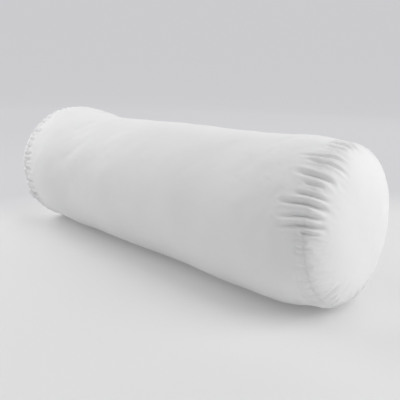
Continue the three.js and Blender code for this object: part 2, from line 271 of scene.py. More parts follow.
def pucker_height(puckers, distance, radius, on_tube):
    """How far the gathers lift or sink the cover, at each point of a panel."""
    height = np.zeros_like(distance)
    for degrees, width, depth, tube, dome, tube_drift, dome_drift in puckers:
        length, drift = (tube, tube_drift) if on_tube else (dome, dome_drift)
        gone = distance / (length * MM)
        across = angle_from(ANGLES, math.radians(degrees)) * radius - drift * distance
        spread = width * MM * (0.9 + 0.35 * np.minimum(gone, 1.5))
        fade = 1 - ease(gone, 0.25, 1)
        u = across / spread
        shape = -np.exp(-u ** 2) + RIDGE * (np.exp(-(u - 1.7) ** 2) + np.exp(-(u + 1.7) ** 2))
        height += depth * MM * fade * shape
    return height


def seam_valley(distance):
    """The crease that the seam pulls in, with a soft roll on each side."""
    d = distance / MM
    return MM * (-0.2 * np.exp(-(d / 1.5) ** 1.5) + 0.1 * np.exp(-((d - 8) / 5) ** 2))


def soft_noise(rng, points, size, count=24):
    """A smooth random value from about -1 to 1 at each point, whose lumps are about size across."""
    value = np.zeros(points.shape[:-1])
    for _ in range(count):
        wave = rng.normal(size=3)
        wave *= TAU / size * rng.uniform(0.6, 1.3) / np.linalg.norm(wave)
        value += np.sin(points @ wave + rng.uniform(0, TAU))
    return value / math.sqrt(count)


rng = np.random.default_rng(11)
near_puckers = NEAR_PUCKERS + random_puckers(rng, NEAR_SHOWN)
far_puckers = random_puckers(rng)
RUMPLES = ((0.5 * MM, 90 * MM), (0.22 * MM, 35 * MM))  # height and size of the cover's soft lumps


def detail(rings, near, far, on_tube):
    """The height of everything sewn or rumpled, over one panel. near and far are distances from the seams."""
    noise_rng = np.random.default_rng(5)
    radius = ring_radius(rings)
    height = np.zeros(rings.shape[:2])
    for distance, puckers in ((near, near_puckers), (far, far_puckers)):
        if distance is not None:
            height += pucker_height(puckers, distance, radius, on_tube) + seam_valley(distance)
    height += sum(amount * soft_noise(noise_rng, rings, size) for amount, size in RUMPLES)
    clear = 1 - ease(rings[..., 2], 1 * MM, 5 * MM)
    height = np.where(height < 0, height * (1 - 0.7 * clear), height * (1 - clear))
    return height * (1 - zip_share(rings[..., 0], ANGLES) * (1 if on_tube else 0))


# The slot's folded edge, the roll of its hem and the topstitching, in millimetres from the zip's middle
HEM_EDGE, HEM_ROLL, TOPSTITCH_INSET = 5.76, 7, 8.6


def zip_detail(rings):
    """The slot's hems and the seam beyond the zip's ends."""
    across = np.abs(OFFSETS_ROUND) * RADIUS / MM
    x = rings[..., 0]
    beyond = ease(np.abs(x - ZIP_X), ZIP_OPENING / 2, ZIP_OPENING / 2 + 8 * MM)
    hem = -0.4 * np.exp(-((across - HEM_EDGE) / 0.5) ** 2) + 0.25 * np.exp(-((across - HEM_ROLL) / 0.9) ** 2)
    hem = hem - 0.2 * np.exp(-((across - TOPSTITCH_INSET) / 0.6) ** 2)
    groove = -1.3 * np.exp(-(across / 1.3) ** 2) + 0.35 * np.exp(-((across - 4) / 2) ** 2)
    return MM * (hem * (1 - beyond) + groove * beyond)


# ---------------------------------------------------------------- meshes

def corners(rows, columns, closed, flip):
    """The (row, column) of each corner of each face of a grid."""
    r = np.arange(rows - 1)[:, None]
    c = np.arange(columns if closed else columns - 1)[None, :]
    order = [(0, 0), (0, 1), (1, 1), (1, 0)]
    if flip:
        order = order[::-1]
    row = np.stack([r + i + 0 * c for i, _ in order], axis=-1).reshape(-1, 4)
    column = np.stack([c + j + 0 * r for _, j in order], axis=-1).reshape(-1, 4)
    return row, column


def mesh_object(name, vertices, faces, uv=None):
    mesh = bpy.data.meshes.new(name)
    mesh.from_pydata(np.asarray(vertices).tolist(), [], faces)
    if uv is not None:
        layer = mesh.uv_layers.new(name="cloth")
        layer.data.foreach_set("uv", np.asarray(uv, np.float32).ravel())
    mesh.polygons.foreach_set("use_smooth", [True] * len(mesh.polygons))
    mesh.update()
    made = bpy.data.objects.new(name, mesh)
    bpy.context.scene.collection.objects.link(made)
    return made


def grid_object(name, points, uv, closed=True, tip=None, flip=False, keep=None):
    """A mesh of a grid of points. uv has one more column than points when the grid closes round.
    tip is a last point that the last ring closes onto, and keep says which faces stay."""
    rows, columns = points.shape[:2]
    row, column = corners(rows, columns, closed, flip)
    if keep is not None:
        stay = keep(row.min(axis=1), column.min(axis=1))
        row, column = row[stay], column[stay]
    faces = (row * columns + column % columns).tolist()
    uvs = uv[row, column].reshape(-1, 2)
    vertices = points.reshape(-1, 3)
    if tip is not None:
        last = (rows - 1) * columns
        c = np.arange(columns)
        fan = np.stack([last + c, last + (c + 1) % columns, np.full(columns, len(vertices))], axis=-1)
        tip_uv = np.broadcast_to(uv[-1].mean(axis=0), (columns, 2))
        fan_uv = np.stack([uv[-1, c], uv[-1, c + 1], tip_uv], axis=1)
        if flip:
            fan, fan_uv = fan[:, ::-1], fan_uv[:, ::-1]
        faces += fan.tolist()
        uvs = np.concatenate([uvs, fan_uv.reshape(-1, 2)])
        vertices = np.concatenate([vertices, [tip]])
    made = mesh_object(name, vertices, faces, uvs)
    drop_loose(made.data)
    return made


def two_ended(rows, columns):
    """The faces of a grid that closes round, and onto one more point past each end."""
    row, column = corners(rows, columns, True, False)
    faces = (row * columns + column % columns).tolist()
    first_tip, last_tip, last = rows * columns, rows * columns + 1, (rows - 1) * columns
    for c in range(columns):
        d = (c + 1) % columns
        faces += [[d, c, first_tip], [last + c, last + d, last_tip]]
    return faces


def drop_loose(mesh):
    """Removes points that no face uses."""
    used = np.zeros(len(mesh.vertices), bool)
    index = np.empty(len(mesh.loops), np.int32)
    mesh.loops.foreach_get("vertex_index", index)
    used[index] = True
    if used.all():
        return
    work = bmesh.new()
    work.from_mesh(mesh)
    work.verts.ensure_lookup_table()
    bmesh.ops.delete(work, geom=[work.verts[i] for i in np.flatnonzero(~used)], context="VERTS")
    work.to_mesh(mesh)
    work.free()


def closed_columns(values):
    return np.concatenate([values, values[:, :1]], axis=1)


def add(made, kind, **settings):
    modifier = made.modifiers.new(kind.title(), kind)
    for key, value in settings.items():
        setattr(modifier, key, value)
    return modifier


def merged(name, parts):
    """One mesh of many (vertices, faces) parts."""
    vertices, faces, start = [], [], 0
    for points, polygons in parts:
        vertices.append(points)
        faces += [[i + start for i in polygon] for polygon in polygons]
        start += len(points)
    return mesh_object(name, np.concatenate(vertices), faces)


def tube_along(path, side, up, radius, sides):
    """A round tube along a path: side and up are its section's directions at each point."""
    turn = (np.arange(sides) * TAU / sides)[None, :, None]
    ring = radius * np.cos(turn) * side[:, None] + radius * np.sin(turn) * up[:, None]
    vertices = (path[:, None] + ring).reshape(-1, 3)
    count = len(path)
    faces = []
    for i in range(count - 1):
        for j in range(sides):
            k = (j + 1) % sides
            faces.append([i * sides + j, i * sides + k, (i + 1) * sides + k, (i + 1) * sides + j])
    faces.append(list(range(sides))[::-1])
    faces.append([(count - 1) * sides + j for j in range(sides)])
    return vertices, faces


def path_frames(path, up_hint):
    """Directions across a path, given roughly which way is up at each point."""
    forward = np.gradient(path, axis=0)
    forward /= np.linalg.norm(forward, axis=-1, keepdims=True)
    side = np.cross(up_hint, forward)
    side /= np.maximum(np.linalg.norm(side, axis=-1, keepdims=True), 1e-12)
    return side, np.cross(forward, side)


STITCH_SIDES = 6


def stitch(centre, along, up, length, thickness, arch):
    """One sewn stitch: a short thread that dips into the cloth at both ends."""
    t = np.linspace(-1, 1, 7)
    rise = arch * (1 - t ** 4) - thickness * 0.9 * np.abs(t) ** 6
    path = centre + along * (t * length / 2)[:, None] + up * rise[:, None]
    side, upward = (np.broadcast_to(way, path.shape) for way in (np.cross(up, along), up))
    swell = 1 - 0.55 * np.abs(t) ** 4
    vertices, faces = tube_along(path, side, upward, thickness / 2, STITCH_SIDES)
    middle = np.repeat(path, STITCH_SIDES, axis=0)
    return middle + (vertices - middle) * np.repeat(swell, STITCH_SIDES)[:, None], faces


# ---------------------------------------------------------------- the cover

smooth_tube = tube_rings(ANGLES)
smooth_near, smooth_far = dome_rings(ANGLES, 1), dome_rings(ANGLES, -1)


def dressed(rings, near, far, on_tube, side=1):
    height = detail(rings, near, far, on_tube)
    if on_tube:
        height = height + zip_detail(rings)
    return rings + ring_normals(rings, side) * height[..., None]


tube = dressed(smooth_tube, distance_along(smooth_tube, -1), distance_along(smooth_tube, 0), True)
near_dome = dressed(smooth_near, distance_along(smooth_near, 0), None, False)
far_dome = dressed(smooth_far, None, distance_along(smooth_far, 0), False, side=-1)
# Both panels end on the same line of stitching
near_seam, far_seam = (tube[-1] + near_dome[0]) / 2, (tube[0] + far_dome[0]) / 2

SIM_FRAMES = 10
EXCESS, EXCESS_REACH = 0.06, 12 * MM  # how much larger the cloth is than its place near the seams
MOVE_CAP = 1.5 * MM
GATHER_COLUMNS = 8
LOWEST = 0.05 * MM
# Fully held up to the first value and free past the second: height, distance from the axis, and from a seam
HELD_BY_FLOOR, HELD_AT_TIP, HELD_AT_SEAM = (1 * MM, 4 * MM), (14 * MM, 30 * MM), (0.5 * MM, 2.5 * MM)
CLOTH_SETTINGS = {
    "quality": 4, "mass": 0.3, "tension_stiffness": 18, "compression_stiffness": 18, "shear_stiffness": 6,
    "bending_stiffness": 0.02, "vertex_group_mass": "held", "pin_stiffness": 1.0,
    "vertex_group_shrink": "exact", "shrink_min": -EXCESS,
    "use_pressure": True, "uniform_pressure_force": 4.0,
}


def sim_cloth(points, pins, excess):
    """Inflates a closed cloth between its pinned points, and gives the points' new places."""
    vertices = np.concatenate([points.reshape(-1, 3), [points[0].mean(axis=0), points[-1].mean(axis=0)]])
    made = mesh_object("cloth_simulation", vertices, two_ended(*points.shape[:2]))
    for name, values in (("held", pins), ("exact", 1 - excess / EXCESS)):
        group = made.vertex_groups.new(name=name)
        weights = np.round(np.concatenate([values.ravel(), [1, 1]]), 2)
        for weight in np.unique(weights[weights > 0]):
            group.add(np.flatnonzero(weights == weight).tolist(), float(weight), "REPLACE")
    cloth = add(made, "CLOTH")
    for key, value in CLOTH_SETTINGS.items():
        setattr(cloth.settings, key, value)
    cloth.settings.effector_weights.gravity = 0
    cloth.point_cache.frame_start, cloth.point_cache.frame_end = 1, SIM_FRAMES
    scene = bpy.context.scene
    for frame_number in range(1, SIM_FRAMES + 1):
        scene.frame_set(frame_number)
    shaped = made.evaluated_get(bpy.context.evaluated_depsgraph_get()).to_mesh()
    flat = np.empty(len(shaped.vertices) * 3, np.float32)
    shaped.vertices.foreach_get("co", flat)
    mesh = made.data
    bpy.data.objects.remove(made)
    bpy.data.meshes.remove(mesh)
    scene.frame_set(1)
    return flat.reshape(-1, 3)[:-2].reshape(points.shape)


def blurred(grid, reach):
    """A grid of values averaged twice over a window of its columns, which close round."""
    for _ in range(2):
        wrapped = np.concatenate([grid[:, -reach:], grid, grid[:, :reach]], axis=1)
        summed = np.cumsum(np.concatenate([wrapped[:, :1] * 0, wrapped], axis=1), axis=1)
        grid = (summed[:, 2 * reach + 1:] - summed[:, :-2 * reach - 1]) / (2 * reach + 1)
    return grid


def gathered(tube, near_dome, far_dome):
    """The panels after their cloth has been simulated as one stuffed cover, longer than its seams."""
    cover = np.concatenate([far_dome[-2:0:-1], [far_seam], tube[1:-1], [near_seam], near_dome[1:-1]])
    far_row, near_row = len(far_dome) - 2, len(far_dome) - 2 + len(tube) - 1
    gone = np.minimum(distance_along(cover, far_row), distance_along(cover, near_row))
    on_zip = zip_share(cover[..., 0], ANGLES)
    on_zip[:far_row], on_zip[near_row + 1:] = 0, 0
    from_axis = np.linalg.norm(cover - cover.mean(axis=1, keepdims=True), axis=-1)
    held = np.clip(2 * on_zip, 0, 1)
    for distance, edges in ((cover[..., 2], HELD_BY_FLOOR), (from_axis, HELD_AT_TIP), (gone, HELD_AT_SEAM)):
        held = np.maximum(held, 1 - ease(distance, *edges))
    move = sim_cloth(cover, held, EXCESS * np.exp(-gone / EXCESS_REACH) * (1 - held)) - cover
    move -= blurred(move, GATHER_COLUMNS)  # the swelling goes, and the gathers stay
    length = np.maximum(np.linalg.norm(move, axis=-1, keepdims=True), 1e-9)
    move *= MOVE_CAP * np.tanh(length / MOVE_CAP) / length
    move *= (1 - held)[..., None]
    cover = cover + move
    cover[..., 2] = np.maximum(cover[..., 2], LOWEST)
    far_part, tube_part, near_part = cover[:far_row + 1][::-1], cover[far_row:near_row + 1], cover[near_row:]
    return tube_part, np.concatenate([near_part, near_dome[-1:]]), np.concatenate([far_part, far_dome[-1:]])


tube, near_dome, far_dome = gathered(tube, near_dome, far_dome)


def inward_from(points, seam):
    """The directions from points towards the middle of a seam, across the pillow."""
    way = (np.array([0, 0, seam[:, 2].mean()]) - points) * [0, 1, 1]
    return way / np.linalg.norm(way, axis=-1, keepdims=True)


def turned_in(seam, side, reach, rng):
    """Rings of the seam allowance, from its raw edge out to the seam. side is where the panel lies, by x."""
    inward = inward_from(seam, seam)
    ragged = 1 + 0.05 * np.sin(ANGLES * 31 + rng.uniform(0, TAU)) + 0.03 * np.sin(ANGLES * 57)
    gap = side * SEAM_GAP / 2
    rings = []
    for share in (1, 0.75, 0.5, 0.25, 0.08, 0.015):
        depth = reach * share * (ragged if share == 1 else 1)
        ring = seam + inward * np.broadcast_to(depth, len(seam))[:, None]
        ring[:, 0] += gap
        rings.append(ring)
    fold = seam.copy()
    fold[:, 0] += gap
    return np.array(rings + [fold])


def wound_uv(rings, side=None):
    """The cloth's own directions, in metres: round and along a tube, or across a round end panel."""
    if side is None:
        along = closed_columns(rings[..., 0])
        turn = np.concatenate([OFFSETS, [OFFSETS[0] + TAU]]) * RADIUS
        return np.stack([np.broadcast_to(turn, along.shape), along], axis=-1)
    ring = closed_columns(rings)
    return np.stack([ring[..., 1], ring[..., 2] + side * 0.4], axis=-1)


near_in, near_out = turned_in(near_seam, -1, ALLOWANCE, rng), turned_in(near_seam, 1, ALLOWANCE, rng)
far_in, far_out = turned_in(far_seam, 1, ALLOWANCE, rng), turned_in(far_seam, -1, ALLOWANCE, rng)


def to_seam(rows, seam):
    """Panel rows with one more close to the seam, which keeps the fold's shading narrow."""
    return np.concatenate([[seam + (rows[0] - seam) * 0.07], rows])


tube_points = np.concatenate([
    far_in, to_seam(tube[1:2], far_seam), tube[2:-2], to_seam(tube[-2:-1], near_seam)[::-1], near_in[::-1],
])
TUBE_X = tube_points[:, 0, 0]
FIRST_OPEN, LAST_OPEN = (int(np.argmin(np.abs(TUBE_X - end))) for end in (ZIP_START, ZIP_END))


def off_the_slot(row, column):
    in_rows = (row >= FIRST_OPEN) & (row < LAST_OPEN)
    in_columns = (column >= SLOT_FIRST) & (column < SLOT_LAST)
    return ~(in_rows & in_columns)


cover_tube = grid_object("cover_tube_cloth", tube_points, wound_uv(tube_points), keep=off_the_slot)
NEAR_TIP = np.array([SEAM_X + BULGE, 0, (TOP_LINE[-1][1] + BOTTOM_LINE[-1][1]) / 2 * RADIUS])
FAR_TIP = np.array([-SEAM_X - BULGE, 0, (TOP_LINE[0][1] + BOTTOM_LINE[0][1]) / 2 * RADIUS])
near_points = np.concatenate([near_out, to_seam(near_dome[1:-1], near_seam)])
far_points = np.concatenate([far_out, to_seam(far_dome[1:-1], far_seam)])
cover_right = grid_object("cover_end_right_cloth", near_points, wound_uv(near_points, 1), tip=NEAR_TIP)
cover_left = grid_object("cover_end_left_cloth", far_points, wound_uv(far_points, -1), tip=FAR_TIP, flip=True)
for panel in (cover_tube, cover_right, cover_left):
    add(panel, "SOLIDIFY", thickness=COVER_THICKNESS, offset=-1, use_rim=True)


# ---------------------------------------------------------------- edges and stitching inside and on the seams

BINDING_DEPTH, BINDING_HALF_WIDTH, BINDING_HEIGHT = 5.6 * MM, 1.5 * MM, 4.2 * MM
BINDING_WRAPS, BINDING_RIDGE = 4, 0.18 * MM  # wraps of thread per column of the seam, and their height
# The binding's section, as shares of its half width and its height
BINDING_OUTLINE = [
    (-1, 0), (-1.03, 0.35), (-1, 0.7), (-0.75, 0.92), (-0.3, 1), (0.3, 1), (0.75, 0.92), (1, 0.7),
    (1.03, 0.35), (1, 0), (0.72, 0), (0.70, 0.4), (0.6, 0.72), (0, 0.78), (-0.6, 0.72), (-0.70, 0.4),
    (-0.72, 0),
]


def overlocked_edge(name, seam):
    """Thread wrapped in ridges round the two raw edges of a seam, open towards the seam."""
    count = len(seam) * BINDING_WRAPS
    at = np.arange(count) / BINDING_WRAPS
    i = at.astype(int) % len(seam)
    f = (at % 1)[:, None]
    line = seam[i] * (1 - f) + seam[(i + 1) % len(seam)] * f
    inward = inward_from(line, seam)
    base = line + inward * BINDING_DEPTH
    rings = []
    wave = BINDING_RIDGE * np.cos(np.arange(count) * math.pi)[:, None]
    for across, deep in BINDING_OUTLINE:
        outer = 1 if abs(across) > 0.74 or deep > 0.9 else 0
        point = base + ALONG * (across * BINDING_HALF_WIDTH) + inward * (deep * BINDING_HEIGHT)
        rings.append(point + (ALONG * across + inward * deep) * wave * outer)
    grid = np.stack(rings, axis=1)
    rows, columns = grid.shape[:2]
    faces = []
    for r in range(rows):
        for c in range(columns):
            a, b = (r + 1) % rows, (c + 1) % columns
            faces.append([r * columns + c, r * columns + b, a * columns + b, a * columns + c])
    return mesh_object(name, grid.reshape(-1, 3), faces)


binding_right = overlocked_edge("seam_binding_right_thread", near_seam)
binding_left = overlocked_edge("seam_binding_left_thread", far_seam)

SEAM_STITCH_EVERY, SEAM_STITCH_LENGTH = 3.2 * MM, 1.9 * MM
SEAM_THREAD, SEAM_STITCH_ARCH, SEAM_STITCH_LIFT = 0.4 * MM, 0.3 * MM, 0.1 * MM
LOWEST_STITCH = 0.9 * MM


def seam_stitches(name, seam):
    """The stitches that join two panels, bridging the crease between them."""
    closed = np.concatenate([seam, seam[:1]])
    gone = np.concatenate([[0], np.cumsum(np.linalg.norm(np.diff(closed, axis=0), axis=-1))])
    parts = []
    for i in range(int(gone[-1] / SEAM_STITCH_EVERY)):
        at = np.array([np.interp(i * SEAM_STITCH_EVERY, gone, closed[:, axis]) for axis in range(3)])
        at[2] = max(at[2], LOWEST_STITCH)
        outward = -inward_from(at, seam)
        middle = at + outward * SEAM_STITCH_LIFT
        parts.append(stitch(middle, ALONG, outward, SEAM_STITCH_LENGTH, SEAM_THREAD, SEAM_STITCH_ARCH))
    return merged(name, parts)


stitches_right = seam_stitches("seam_stitches_right", near_seam)
stitches_left = seam_stitches("seam_stitches_left", far_seam)


# ---------------------------------------------------------------- the zip

def on_facet(x, s, n):
    """A point by its place along the zip, up its facet and out of it."""
    x, s, n = np.broadcast_arrays(x, s, n)
    base = np.stack([x, 0 * x, 0 * x + AXIS_Z], axis=-1)
    return base + s[..., None] * ZIP_UP + (FACET_PLANE + n)[..., None] * ZIP_OUT


CHAIN_X = (ZIP_X - CHAIN_LENGTH / 2, ZIP_X + CHAIN_LENGTH / 2)
TAPE_MIDDLE = -1.6 * MM
TAPE_ROWS = 213


def zip_tape(name, side):
    """A woven tape, rounded along both its edges."""
    x = np.linspace(ZIP_START - TAPE_OVERLAP, ZIP_END + TAPE_OVERLAP, TAPE_ROWS)
    s = np.concatenate([[0.6, 0.75, 1.0, 1.3], np.linspace(2, 13, 12), [13.5, 13.85, 14.0]]) * MM
    rounded = np.clip(np.minimum(s - s[0], s[-1] - s) / (0.4 * MM), 0, 1)
    half = 0.12 * MM + 0.12 * MM * np.sqrt(rounded)
    ripple = 0.04 * MM * np.sin(x[:, None] * 190 + 2 * side) * (s / s[-1])
    top, bottom = TAPE_MIDDLE + half + ripple, TAPE_MIDDLE - half + ripple
    upper = on_facet(x[:, None], side * s, top)
    lower = on_facet(x[:, None], side * s, bottom)[:, ::-1]
    points = np.concatenate([upper, lower], axis=1)
    girth = np.concatenate([s, 2 * s[-1] - s[::-1], [2 * s[-1]]])
    uv = np.stack(np.broadcast_arrays(girth[None, :], x[:, None]), axis=-1)
    made = grid_object(name, points, uv, flip=side > 0)
    fill_ends(made.data, points.shape[1], len(x), side > 0)
    return made


def fill_ends(mesh, columns, rows, flip):
    """Closes both ends of a tube-shaped grid with strips across it."""
    work = bmesh.new()
    work.from_mesh(mesh)
    work.verts.ensure_lookup_table()
    for start, turn in ((0, flip), ((rows - 1) * columns, not flip)):
        for i in range(columns // 2 - 1):
            corner = [start + i, start + i + 1, start + columns - 2 - i, start + columns - 1 - i]
            if turn:
                corner = corner[::-1]
            work.faces.new([work.verts[j] for j in corner]).smooth = True
    bmesh.ops.recalc_face_normals(work, faces=work.faces)
    work.to_mesh(mesh)
    work.free()


tape_upper, tape_lower = zip_tape("zip_tape_upper_weave", 1), zip_tape("zip_tape_lower_weave", -1)

COIL_PITCH = 1.35 * MM
COIL_WIRE = 0.29 * MM
COIL_INNER, COIL_OUTER = 0.45 * MM, 3.15 * MM
COIL_LOW, COIL_HIGH = -1.0 * MM, 0.9 * MM
COIL_STEPS, WIRE_SIDES = 14, 6
COIL_THREAD, COIL_THREAD_PLACE, COIL_THREAD_STEPS = 0.16 * MM, 2.15 * MM, 6


def zip_coil(name, side):
    """One spiral of nylon filament. The two sides are half a turn apart."""
    turns = int((CHAIN_X[1] - CHAIN_X[0]) / COIL_PITCH) - 1
    t = np.arange(turns * COIL_STEPS + 1) / COIL_STEPS + (0.5 if side > 0 else 0)
    x = CHAIN_X[0] + COIL_WIRE + t * COIL_PITCH
    middle_s, middle_n = (COIL_INNER + COIL_OUTER) / 2, (COIL_LOW + COIL_HIGH) / 2
    reach_s = (COIL_OUTER - COIL_INNER) / 2 - COIL_WIRE
    reach_n = (COIL_HIGH - COIL_LOW) / 2 - COIL_WIRE
    s = middle_s - reach_s * np.cos(t * TAU)
    n = middle_n + reach_n * np.sin(t * TAU)
    path = on_facet(x, side * s, n)
    side_way, up_way = path_frames(path, np.broadcast_to(ALONG, path.shape))
    vertices, faces = tube_along(path, side_way, up_way, COIL_WIRE, WIRE_SIDES)
    return mesh_object(name, vertices, faces)


coil_upper, coil_lower = zip_coil("zip_coil_upper_wire", 1), zip_coil("zip_coil_lower_wire", -1)


def coil_thread(name, side):
    """The thread that sews a coil to its tape, dipping between the turns."""
    count = int((CHAIN_X[1] - CHAIN_X[0]) / COIL_PITCH) * COIL_THREAD_STEPS
    x = np.linspace(CHAIN_X[0], CHAIN_X[1], count)
    n = COIL_HIGH - 0.12 * MM + 0.2 * MM * np.cos((x - CHAIN_X[0]) / COIL_PITCH * TAU)
    path = on_facet(x, side * COIL_THREAD_PLACE, n)
    side_way, up_way = path_frames(path, np.broadcast_to(ZIP_OUT, path.shape))
    vertices, faces = tube_along(path, side_way, up_way, COIL_THREAD, 5)
    return mesh_object(name, vertices, faces)


thread_upper, thread_lower = coil_thread("zip_coil_thread_upper", 1), coil_thread("zip_coil_thread_lower", -1)


TOPSTITCH_EVERY, TOPSTITCH_LENGTH = 3.1 * MM, 2.3 * MM
TOPSTITCH_THREAD, TOPSTITCH_ARCH = 0.42 * MM, 0.16 * MM
TOPSTITCH_PAST = 3 * MM  # how far past the opening the ends of the line are


def topstitch(x, place, crosswise):
    """One stitch beside the slot, by its place along the zip and round from it."""
    angle = place / RADIUS + ZIP_ANGLE
    out = np.array([0, math.cos(angle), math.sin(angle)])
    along = np.array([0, -math.sin(angle), math.cos(angle)]) if crosswise else ALONG
    centre = np.array([x, 0, AXIS_Z]) + out * (RADIUS - TOPSTITCH_ARCH)
    return stitch(centre, along, out, TOPSTITCH_LENGTH, TOPSTITCH_THREAD, TOPSTITCH_ARCH)


def topstitching(name):
    """A line of stitches round the slot, through the hem and the tape."""
    inset, half = TOPSTITCH_INSET * MM, TOPSTITCH_EVERY / 2
    ends = ZIP_START - TOPSTITCH_PAST, ZIP_END + TOPSTITCH_PAST
    lengthwise = np.arange(*ends, TOPSTITCH_EVERY) + half
    parts = [topstitch(x, side * inset, False) for side in (1, -1) for x in lengthwise]
    round_ends = np.arange(-inset + half, inset, TOPSTITCH_EVERY)
    return merged(name, parts + [topstitch(x, place, True) for x in ends for place in round_ends])


slot_stitches = topstitching("zip_topstitching")


# ---------------------------------------------------------------- the liner and its filling

whole = np.concatenate([smooth_far[-2:0:-1], smooth_tube, smooth_near[1:-1]])
FAR_ROW = len(smooth_far) - 2
NEAR_ROW = FAR_ROW + len(smooth_tube) - 1
whole_normals = ring_normals(whole)
near_gone, far_gone = distance_along(whole, NEAR_ROW), distance_along(whole, FAR_ROW)
LINER_SKIN, LINER_TUCK, TUCK_REACH = 4.2 * MM, 9.5 * MM, 16 * MM
LINER_LUMPS = ((0.9 * MM, 70 * MM), (0.5 * MM, 28 * MM))  # depth and size
LINER_INSET = 6 * MM  # from the cover's end seams to the liner's
LINER_ALLOWANCE = 6 * MM
LINER_THICKNESS = 0.5 * MM
FILLING_SKIN = 7.4 * MM
FILLING_LUMPS = ((2.6 * MM, 75 * MM), (1.6 * MM, 30 * MM), (0.6 * MM, 12 * MM))
TIP_REACH = 0.1 * MM


def inside(skin, lumps, seed):
    """The surface of something stuffed inside the cover, clear of the cover's seam allowances."""
    noise_rng = np.random.default_rng(seed)
    tuck = np.exp(-(near_gone / TUCK_REACH) ** 2) + np.exp(-(far_gone / TUCK_REACH) ** 2)
    depth = skin + LINER_TUCK * tuck
    for lump, size in lumps:
        depth = depth + lump * (1 + soft_noise(noise_rng, whole, size).clip(-1, 1)) / 2
    return whole - whole_normals * depth[..., None]


def inner_tips(points):
    """The points at the two ends that close a stuffed shape."""
    return points[0].mean(axis=0) - TIP_REACH * ALONG, points[-1].mean(axis=0) + TIP_REACH * ALONG


liner = inside(LINER_SKIN, LINER_LUMPS, 23)
LINER_SEAM_NEAR = NEAR_ROW - int(np.argmax(near_gone[NEAR_ROW::-1, 0] > LINER_INSET))
LINER_SEAM_FAR = FAR_ROW + int(np.argmax(far_gone[FAR_ROW:, 0] > LINER_INSET))
liner_far_tip, liner_near_tip = inner_tips(liner)
liner_rng = np.random.default_rng(41)


def liner_piece(name, rows, side=None, tip=None):
    """A panel of the liner between its seams. An end panel runs from its seam to its tip."""
    points = liner[rows]
    if side is None:
        points = np.concatenate([
            turned_in(points[0], 1, LINER_ALLOWANCE, liner_rng), points[1:-1],
            turned_in(points[-1], -1, LINER_ALLOWANCE, liner_rng)[::-1],
        ])
    else:
        points = points[::side]
        points = np.concatenate([turned_in(points[0], side, LINER_ALLOWANCE, liner_rng), points[1:]])
    made = grid_object(name, points, wound_uv(points, side), tip=tip, flip=side == -1)
    add(made, "SOLIDIFY", thickness=LINER_THICKNESS, offset=-1, use_rim=True)
    return made


liner_tube = liner_piece("liner_tube_cloth", slice(LINER_SEAM_FAR, LINER_SEAM_NEAR + 1))
liner_right = liner_piece("liner_end_right_cloth", slice(LINER_SEAM_NEAR, None), 1, liner_near_tip)
liner_left = liner_piece("liner_end_left_cloth", slice(0, LINER_SEAM_FAR + 1), -1, liner_far_tip)


def filling_object():
    """The stuffing: one lumpy mass, closed at both ends."""
    points = inside(FILLING_SKIN, FILLING_LUMPS, 37)[::2, ::2]
    vertices = np.concatenate([points.reshape(-1, 3), inner_tips(points)])
    return mesh_object("filling_fibre", vertices, two_ended(*points.shape[:2]))


filling = filling_object()


# ---------------------------------------------------------------- the care label

LABEL_WIDTH, LABEL_SHOWING, LABEL_HELD = 18 * MM, 14 * MM, 6 * MM
LABEL_LEAN, LABEL_RISE, LABEL_CURL = -12.6 * MM, 3.4 * MM, 0.5 * MM
RIBBON_THICKNESS, FOLD_RADIUS = 0.09 * MM, 0.10 * MM
LABEL_ANGLE = math.radians(209)


def care_label():
    """A satin ribbon folded in half, sewn into the far seam, with its fold out."""
    column = int(np.argmin(np.abs(angle_from(ANGLES, LABEL_ANGLE))))
    root = far_seam[column]
    out = np.array([0, math.cos(LABEL_ANGLE), math.sin(LABEL_ANGLE)])
    across = np.array([0, -math.sin(LABEL_ANGLE), math.cos(LABEL_ANGLE)])
    length = LABEL_HELD + LABEL_SHOWING
    turn = np.linspace(-math.pi / 2, math.pi / 2, 9)[1:-1]
    straight = np.linspace(0, length, 21)
    profile = [(a, -FOLD_RADIUS) for a in straight]
    profile += [(length + FOLD_RADIUS * math.cos(b), FOLD_RADIUS * math.sin(b)) for b in turn]
    profile = np.array(profile + [(a, FOLD_RADIUS) for a in straight[::-1]])
    width = np.linspace(-LABEL_WIDTH / 2, LABEL_WIDTH / 2, 15)
    gone = np.clip(profile[:, 0] - LABEL_HELD, 0, None) / LABEL_SHOWING
    lean = LABEL_LEAN * gone ** 1.35
    rise = LABEL_RISE * (1 - (1 - gone).clip(0, 1) ** 2.4)
    curl = LABEL_CURL * gone[:, None] * np.sin(width[None, :] / LABEL_WIDTH * 5)
    height = np.where(profile[:, 0] > LABEL_HELD, rise, profile[:, 0] - LABEL_HELD)
    points = root + out * height[:, None, None] + across * width[None, :, None]
    points = points + ALONG * (profile[:, 1, None] + lean[:, None] + curl)[..., None]
    girth = np.concatenate([[0], np.cumsum(np.linalg.norm(np.diff(profile, axis=0), axis=-1))])
    uv = np.stack(np.broadcast_arrays(width[None, :], girth[:, None]), axis=-1)
    made = grid_object("care_label_satin", points, uv, closed=False)
    add(made, "SOLIDIFY", thickness=RIBBON_THICKNESS, offset=1, use_rim=True)
    return made


label = care_label()


# ---------------------------------------------------------------- materials

def new_material(name, color, roughness, **sockets):
    made = bpy.data.materials.new(name)
    made.use_nodes = True
    shader = made.node_tree.nodes["Principled BSDF"]
    shader.inputs["Base Color"].default_value = (*color, 1)
    shader.inputs["Roughness"].default_value = roughness
    for key, value in sockets.items():
        shader.inputs[key.replace("_", " ")].default_value = value
    return made, made.node_tree, shader


def node(tree, kind, links=(), **settings):
    """A node with its values set and its sockets linked: links are (input, output socket)."""
    made = tree.nodes.new(kind)
    for key, value in settings.items():
        if key.startswith("in_"):
            made.inputs[key[3:].replace("_", " ")].default_value = value
        else:
            setattr(made, key, value)
    for name, output in links:
        tree.links.new(output, made.inputs[name])
    return made


